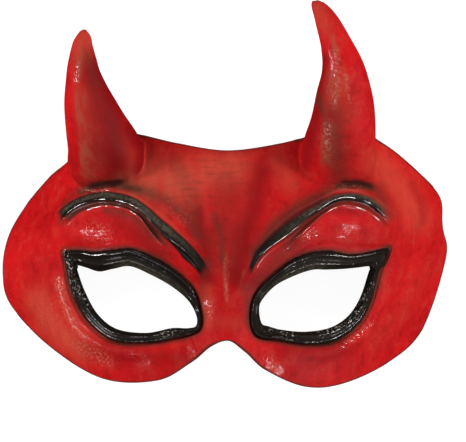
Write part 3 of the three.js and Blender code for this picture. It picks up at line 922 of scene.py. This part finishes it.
def brow_paint(side, ring):
    """How black the brow is painted at a ring."""
    lines, lows, highs = BAND[side]
    low, high = np.interp(LINE_OF_STEP, lines, lows), np.interp(LINE_OF_STEP, lines, highs)
    foot, top = BAND_FOOT_SOFTNESS, BAND_TOP_SOFTNESS[side]
    band = span(ring, low - foot, low + foot, high - top, high + top / 2)
    return band * span(LINE_OF_STEP, *BAND_ENDS[side])


def olive_sheen_paint(side, ring):
    """Where the black of the brow and of the rim gets a greyish olive, a painted sheen of light."""
    most, rings, lines = BEAD_OLIVE_SHEEN
    bead = most * (1 - smoothstep(ring, *rings)) * span(LINE_OF_STEP, *lines)
    most, rings, lines = BROW_OLIVE_SHEEN[side]
    return np.maximum(bead, most * span(ring, *rings) * span(LINE_OF_STEP, *lines))


def brow_shade(side, ring):
    """Thin brown paint between the fold of the lid and the brow's crest, which is also painted shade in
    the groove between them.
    """
    return SHADE[side] * (span(ring, *SHADE_RINGS) * span(LINE_OF_STEP, *SHADE_LINES))


def gloss(side, ring):
    """The rim, the lid's fold and the crest are rubbed shiny."""
    curves = SIDES[side]
    shine = np.full(len(LINE_OF_STEP), RIM_SHEEN[side] if ring < RIM else 0)
    for centre, reach in GLOSSY_BEADS:
        shine = np.maximum(shine, BEAD_SHINE[side] * bell(beyond(curves, ring, centre), reach))
    for centre, reach, lines in GLOSSY_RIDGES:
        polish = bell(beyond(curves, ring, centre), reach)
        shine = np.maximum(shine, polish * span(LINE_OF_STEP, *lines))
    return shine


def paint_samples():
    """The paint's numbers at every point of the outer rings, in the order of OUTER_GRID."""
    on_midline = (LINE_OF_STEP > MIDLINE_TOP) & (LINE_OF_STEP < MIDLINE_NOTCH)
    rows = []
    for side, curves in SIDES.items():
        for ring in ring_list(OUTER_COUNTS):
            inside_rim = beyond(curves, RIM, ring)
            inside_edge = np.where(on_midline, DEPTH, beyond(curves, EDGE, ring))
            others = [kind(side, ring) for kind in (gloss, brow_paint, olive_sheen_paint, brow_shade)]
            rows.append(np.column_stack([inside_rim, inside_edge, *others]))
    return np.vstack(rows)


samples = paint_samples()
print("Samples of paint:", len(samples))

# %% [markdown]
# Each point of the mesh now gets a number for each kind of paint, from the samples nearest to it. The
# rim's number is its distance from the paint's border, so the material can draw a sharp line between
# two points. A point that lies well off the face belongs to a horn.

# %% Paint on the points of the mesh
NEIGHBOURS = 3
NEAREST = 0.05 * MM
HORN_CLEAR = 1.3 * MM  # this far off the face a point is all horn
HORN_NEAR = 0.2 * HORN_CLEAR


def spread(tree, places, samples):
    """Each place takes the values of its nearest samples, the nearer the stronger."""
    values = np.empty((len(places), samples.shape[1]))
    for row, place in enumerate(places):
        found = tree.find_n(place, NEIGHBOURS)
        weights = np.array([1 / (distance + NEAREST) ** 2 for _, _, distance in found])
        values[row] = weights @ samples[[index for _, index, _ in found]] / weights.sum()
    return values


places = point_places(skin.data)
rim, edge, shine, brow, olive_sheen, shade = spread(OUTER_TREE, places, samples).T
off_face = np.array([OUTER_TREE.find(place)[2] for place in places])
on_horn = smoothstep(off_face, HORN_NEAR, HORN_CLEAR)
edge[on_horn == 1] = DEPTH  # the horns have no cut edge
x, y = places[:, 0] / MM, places[:, 1] / MM
mist = np.maximum(strokes(x, y, BROWN_MIST), strokes(x, y, HORN_MIST) * past_line(x, y) * on_horn)
paints = {
    "rim": rim,
    "edge": edge,
    # the black strokes are painted shade under the horns and a spray over the right brow
    "brow": np.maximum(brow, strokes(x, y, BLACK_SHADE_AND_SPRAY)),
    "olive_sheen": olive_sheen,
    "mist": np.maximum(shade, mist),
    "crimson": np.maximum(strokes(x, y, CRIMSON), strokes(x, y, HORN_CRIMSON) * on_horn),
    # warm red; on the left cheek and along the tops of the brows it is painted light
    "warm": strokes(x, y, WARM),
    # tan; on the horns a painted reflection
    "tan": strokes(x, y, TAN) * past_line(x, y),
    "shine": shine,
    "sparkle": strokes(x, y, SPARKLES),
    "wrinkled": how_wrinkled(x, y),
}
for name, values in paints.items():
    layer = skin.data.attributes.new(name, "FLOAT", "POINT")
    layer.data.foreach_set("value", np.asarray(values, np.float32))
print("Painted rim points:", int((rim > 0).sum()), " brow points:", int((brow > 0.5).sum()))

# %% [markdown]
# Two materials cover the mask. The outside is red latex paint that varies from crimson to orange-red,
# with brush streaks, under black. A clear gloss lies only on the rubbed lines and the glints. The
# inside is the bare skin as it leaves the mould: the same red, dull and a little darker. A few small
# helpers keep each node to one line.

# %% Node helpers
def fill(tree, node, values):
    """Sets inputs by name or index. A value is a number or colour, or the socket of another node."""
    for key, value in values.items():
        if isinstance(value, bpy.types.NodeSocket):
            tree.links.new(value, node.inputs[key])
        else:
            node.inputs[key].default_value = value


def add_node(tree, kind, values, **settings):
    node = tree.nodes.new(kind)
    for name, setting in settings.items():
        setattr(node, name, setting)
    fill(tree, node, values)
    return node


def coordinates(tree, kind):
    return add_node(tree, "ShaderNodeTexCoord", {}).outputs[kind]


def attribute(tree, name):
    return add_node(tree, "ShaderNodeAttribute", {}, attribute_name=name).outputs["Fac"]


def noise_field(tree, place, scale, detail, roughness):
    values = {"Vector": place, "Scale": scale, "Detail": detail, "Roughness": roughness}
    return add_node(tree, "ShaderNodeTexNoise", values).outputs["Fac"]


def remap(tree, value, start, stop, low=0.0, high=1.0):
    values = {"Value": value, "From Min": start, "From Max": stop, "To Min": low, "To Max": high}
    return add_node(tree, "ShaderNodeMapRange", values, interpolation_type="SMOOTHSTEP").outputs["Result"]


def math_node(tree, operation, first, second):
    return add_node(tree, "ShaderNodeMath", {0: first, 1: second}, operation=operation).outputs[0]


def times(tree, first, second):
    return math_node(tree, "MULTIPLY", first, second)


def broken_up(tree, strength, pattern, limits):
    """A strength that a pattern makes uneven."""
    return times(tree, strength, remap(tree, pattern, *limits))


def bumpy(tree, height, strength, distance):
    values = {"Height": height, "Strength": strength, "Distance": distance}
    return add_node(tree, "ShaderNodeBump", values).outputs["Normal"]


def mix_colour(tree, factor, first, second):
    values = {"Factor": factor, 6: first, 7: second}
    return add_node(tree, "ShaderNodeMix", values, data_type="RGBA").outputs[2]


def mix_value(tree, factor, first, second):
    values = {"Factor": factor, 2: first, 3: second}
    return add_node(tree, "ShaderNodeMix", values, data_type="FLOAT").outputs[0]


def start_nodes(material):
    material.use_nodes = True
    tree = material.node_tree
    return tree, tree.nodes["Principled BSDF"]


# %% Painted latex
RED = (0.60, 0.008, 0.010, 1)
DARK_RED = (0.24, 0.0035, 0.005, 1)
WARM_RED = (0.58, 0.062, 0.037, 1)
LIGHT_BROWN = (0.38, 0.085, 0.048, 1)
# greyish olive: a painted sheen on the black paint
OLIVE_SHEEN = (0.105, 0.092, 0.066, 1)
BROWN = (0.060, 0.026, 0.017, 1)
# pale dots under the glints: flecks of paint that are also a painted highlight
PALE_FLECKS_AND_GLINTS = (0.78, 0.26, 0.19, 1)
# pale grey dots on the black rim: painted highlights, glints drawn into the colour
RIM_PAINTED_GLINTS = (0.55, 0.50, 0.42, 1)
BLACK = (0.01, 0.0068, 0.005, 1)

# scale, detail and roughness; streaks are drawn out upright and creases level
PATTERNS = {
    "blotches": (45, 4, 0.55),
    "streaks": (260, 4, 0.6),
    "mottles": (190, 5, 0.65),
    "fine": (620, 3, 0.6),
    "grain": (1500, 2, 0.6),
    "dots": (1000, 1, 0.5),
    "creases": (560, 3, 0.55),
}
DRAWN_OUT = {"streaks": (1, 0.2, 1), "creases": (0.28, 1, 1)}
MIDDLE = 0.5  # of a pattern's values

# four limits are two values of a pattern or of a distance in mm, and the strength at each
MOTTLING = [
    ("blotches", (0.36, 0.6, 0.3, 0), DARK_RED),
    ("streaks", (0.52, 0.72, 0, 0.2), WARM_RED),
    ("streaks", (0.46, 0.3, 0, 0.2), DARK_RED),
    ("mottles", (0.52, 0.66, 0, 0.25), WARM_RED),
    ("mottles", (0.47, 0.34, 0, 0.4), DARK_RED),
]
# kind of paint, pattern that breaks it up, limits, colour
COATS = [
    ("warm", "streaks", (0.3, 0.6, 0.7, 1), WARM_RED),
    ("crimson", None, None, DARK_RED),
    ("tan", "streaks", (0.4, 0.58, 0.4, 1), LIGHT_BROWN),
    ("mist", "fine", (0.3, 0.6, 0.88, 1), BROWN),
    # brown in the low parts of the creases: paint settled there, and painted shade that makes the wrinkles
    # show
    ("wrinkled", "creases", (0.52, 0.36, 0, 0.32), BROWN),
    # pale dots where the glints are, partly a painted highlight
    ("sparkle", "dots", (0.5, 0.62, 0, 0.4), PALE_FLECKS_AND_GLINTS),
]
# brown along the free cut edge: the dark cut latex, and painted shade where the edge turns away
EDGE_SHADE = (0.1, 0.9, 0.65, 0.0)
RIM_WOBBLE = 1.2
RIM_MIST = (-2.6, 0.0, 0.0, 0.8)
RIM_BORDER = (-0.4, 0.3, 0.0, 1.0)
# which dots on the rim get a painted highlight
RIM_GLINT_DOTS = (0.58, 0.66, 0.0, 0.75)
# how the fine noise breaks up the painted olive sheen
OLIVE_SHEEN_BREAKUP = (0.38, 0.58, 0.35, 1.0)
SHINY_LINE = (0.40, 0.52, 0.45, 1.0)
GLINTS = (0.46, 0.56, 0.2, 1.0)
RIM_GRIT = 0.15
ROUGHNESS = (0.35, 0.65, 0.5, 0.58)
FINE_SHARE, GRAIN_SHARE, CREASE_SHARE = 0.45, 0.55, 2.2
RELIEF = (0.9, 0.3 * MM)  # strength and depth
PITS = (1, 0.55 * MM)


def make_patterns(tree):
    place = coordinates(tree, "Object")
    fields = {}
    for name, settings in PATTERNS.items():
        where = place
        if name in DRAWN_OUT:
            values = {"Vector": place, "Scale": DRAWN_OUT[name]}
            where = add_node(tree, "ShaderNodeMapping", values).outputs["Vector"]
        fields[name] = noise_field(tree, where, *settings)
    return fields


def outside_colour(tree, pattern, paint, rim_distance, rim):
    """Coat over coat, in the order in which the painter lays them on. Some coats are painted light: the
    edge shade, the pale glints and the olive sheen.
    """
    colour = RED
    for name, limits, coat in MOTTLING:
        colour = mix_colour(tree, remap(tree, pattern[name], *limits), colour, coat)
    for kind, name, limits, coat in COATS:
        strength = broken_up(tree, paint[kind], pattern[name], limits) if name else paint[kind]
        colour = mix_colour(tree, strength, colour, coat)
    # the dark cut edge, partly painted shade
    colour = mix_colour(tree, remap(tree, paint["edge"], *EDGE_SHADE), colour, BROWN)
    colour = mix_colour(tree, paint["brow"], colour, BLACK)
    colour = mix_colour(tree, remap(tree, rim_distance, *RIM_MIST), colour, BROWN)
    colour = mix_colour(tree, rim, colour, BLACK)
    # pale painted highlights: dots of glint on the black rim
    painted_glints = broken_up(tree, paint["sparkle"], pattern["dots"], RIM_GLINT_DOTS)
    colour = mix_colour(tree, times(tree, rim, painted_glints), colour, RIM_PAINTED_GLINTS)
    # a greyish olive painted sheen over the black
    olive_sheen_mix = broken_up(tree, paint["olive_sheen"], pattern["fine"], OLIVE_SHEEN_BREAKUP)
    return mix_colour(tree, olive_sheen_mix, colour, OLIVE_SHEEN)


def outside_relief(tree, pattern, paint):
    fine = times(tree, pattern["fine"], FINE_SHARE)
    grain = times(tree, pattern["grain"], GRAIN_SHARE)
    folded = times(tree, paint["wrinkled"], times(tree, pattern["creases"], CREASE_SHARE))
    return math_node(tree, "ADD", math_node(tree, "ADD", fine, grain), folded)


def paint_outside():
    tree, shader = start_nodes(PAINTED)
    pattern = make_patterns(tree)
    paint = {kind: attribute(tree, kind) for kind in paints}
    wobble = times(tree, math_node(tree, "SUBTRACT", pattern["fine"], MIDDLE), RIM_WOBBLE)
    rim_distance = math_node(tree, "ADD", paint["rim"], wobble)
    rim = remap(tree, rim_distance, *RIM_BORDER)
    line = broken_up(tree, paint["shine"], pattern["dots"], SHINY_LINE)
    glints = broken_up(tree, paint["sparkle"], pattern["dots"], GLINTS)
    grit = math_node(tree, "MAXIMUM", paint["sparkle"], times(tree, rim, RIM_GRIT))
    fill(tree, shader, {
        "Base Color": outside_colour(tree, pattern, paint, rim_distance, rim),
        "Roughness": remap(tree, pattern["blotches"], *ROUGHNESS),
        "Normal": bumpy(tree, outside_relief(tree, pattern, paint), *RELIEF),
        "Coat Weight": math_node(tree, "MAXIMUM", line, glints),
        "Coat Normal": bumpy(tree, times(tree, pattern["dots"], grit), *PITS),
        "Coat Roughness": 0.09,
        "Coat IOR": 1.8,
        "Specular IOR Level": 0.06,
    })


# %% Bare latex
BARE_RED = (0.42, 0.03, 0.025, 1)
BARE_DARK = (0.30, 0.016, 0.016, 1)
BARE_CLOUDS, BARE_GRAIN = (60, 4, 0.6), (700, 3, 0.6)
BARE_SHADES = (0.35, 0.65)
BARE_ROUGHNESS = (0.3, 0.7, 0.6, 0.75)
BARE_RELIEF = (0.4, 0.3 * MM)


def leave_inside_bare():
    tree, shader = start_nodes(BARE)
    place = coordinates(tree, "Object")
    clouds = noise_field(tree, place, *BARE_CLOUDS)
    grain = noise_field(tree, place, *BARE_GRAIN)
    fill(tree, shader, {
        "Base Color": mix_colour(tree, remap(tree, clouds, *BARE_SHADES), BARE_DARK, BARE_RED),
        "Roughness": remap(tree, clouds, *BARE_ROUGHNESS),
        "Normal": bumpy(tree, grain, *BARE_RELIEF),
    })


paint_outside()
leave_inside_bare()
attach(skin, "root")
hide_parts("demon_eye_mask")
bare_faces = sum(face.material_index == INSIDE for face in skin.data.polygons)
print("Materials:", [material.name for material in skin.data.materials], " bare faces:", bare_faces)

# %% [markdown]
# The photograph looks straight at the mask's face, so the camera looks straight down on it. It stands
# far off with a long lens, which keeps the horns from leaning outward. The main lights stand low on the
# left and the right: they brighten the wings, leave the middle of the face darker and draw the glints.
# The wide veils soften the shadows and don't show in the gloss. The crest light shows there alone, as
# the thin line along the right brow.

# %% Camera, floor and light
IMAGE = (466, 442)
MM_PER_PIXEL = 0.3946
MASK_ORIGIN_PIXEL = (225, 194)  # where the part's origin lies in the photograph
CAMERA_HEIGHT = 7.5
LOOK_LEVEL = 0.045  # height at which the scale is exact
SENSOR = 36.0
FLOOR_SIZE = 6
FLOOR_GREY = (0.2, 0.2, 0.2, 1)
FLOOR_ROUGHNESS = 0.8
WHITE = (1, 1, 1, 1)
BACKDROP = 0.92  # how bright the floor and the sky look
SKY = (0.0, 0.8, 0.0, 0.12)  # two heights in the sky, and its strength at each


def make_camera():
    camera = bpy.data.cameras.new("camera")
    camera.sensor_width = SENSOR
    width = IMAGE[0] * MM_PER_PIXEL * MM
    camera.lens = SENSOR * (CAMERA_HEIGHT - LOOK_LEVEL) / width
    camera.clip_end = 2 * CAMERA_HEIGHT
    eye = bpy.data.objects.new("camera", camera)
    x = (IMAGE[0] / 2 - MASK_ORIGIN_PIXEL[0]) * MM_PER_PIXEL * MM
    y = (MASK_ORIGIN_PIXEL[1] - IMAGE[1] / 2) * MM_PER_PIXEL * MM
    eye.location = (x, y, CAMERA_HEIGHT)
    bpy.context.collection.objects.link(eye)
    bpy.context.scene.camera = eye


def make_floor():
    deselect_everything()
    bpy.ops.mesh.primitive_plane_add(size=FLOOR_SIZE)
    floor = bpy.context.object
    floor.name = "floor"
    material = bpy.data.materials.new("floor")
    tree, shader = start_nodes(material)
    fill(tree, shader, {
        "Base Color": FLOOR_GREY,
        "Roughness": FLOOR_ROUGHNESS,
        "Emission Color": WHITE,
        "Emission Strength": BACKDROP,
    })
    floor.data.materials.append(material)
    floor.visible_glossy = False
    floor.visible_diffuse = False


def make_light(name, place, size, power, shows_in_gloss=True, lights_surfaces=True):
    """A rectangle of light that faces the mask; places and sizes are in metres, the power in watts."""
    light = bpy.data.lights.new(name, "AREA")
    light.shape = "RECTANGLE"
    light.size, light.size_y = size
    light.energy = power
    lamp = bpy.data.objects.new(name, light)
    lamp.location = place
    lamp.visible_glossy = shows_in_gloss
    lamp.visible_diffuse = lights_surfaces
    lamp.visible_camera = False
    lamp.rotation_euler = (-Vector(place)).to_track_quat("-Z", "Y").to_euler()
    bpy.context.collection.objects.link(lamp)


def make_sky():
    """A weak dome, darkest at the horizon, so that steep sides keep their deep red. It looks white."""
    world = bpy.data.worlds.new("studio")
    world.use_nodes = True
    tree = world.node_tree
    direction = coordinates(tree, "Generated")
    height = add_node(tree, "ShaderNodeSeparateXYZ", {"Vector": direction}).outputs["Z"]
    seen = add_node(tree, "ShaderNodeLightPath", {}).outputs["Is Camera Ray"]
    strength = mix_value(tree, seen, remap(tree, height, *SKY), BACKDROP)
    fill(tree, tree.nodes["Background"], {"Strength": strength, "Color": WHITE})
    bpy.context.scene.world = world
    bpy.context.scene.view_settings.view_transform = "Standard"


make_camera()
make_floor()
make_light("left_light", (-1.04, 0, 0.42), (0.2, 0.14), 4.8)
make_light("right_light", (1.0, 0.05, 0.51), (0.25, 0.12), 4.7)
make_light("left_veil", (-1.0, 0.1, 0.5), (0.9, 0.6), 4.8, shows_in_gloss=False)
make_light("right_veil", (1.0, 0.1, 0.5), (0.9, 0.6), 5.5, shows_in_gloss=False)
make_light("back_light", (0.1, 1.1, 0.4), (0.6, 0.3), 1.8)
make_light("front_light", (-0.35, -0.75, 0.95), (1.2, 0.4), 0.5)
make_light("top_veil", (0.05, 0.55, 1.0), (0.6, 0.6), 1.8, shows_in_gloss=False)
make_light("upper_left_light", (-0.58, 0.21, 0.91), (0.25, 0.12), 0.9)
make_light("lower_right_light", (0.72, -0.65, 0.52), (0.16, 0.1), 1.4)
make_light("crest_light", (0.72, -0.65, 0.52), (0.13, 0.08), 7.5, lights_surfaces=False)
make_light("lower_left_light", (-0.72, -0.65, 0.5), (0.2, 0.14), 1.0)
make_sky()
print("Lights:", len(bpy.data.lights))
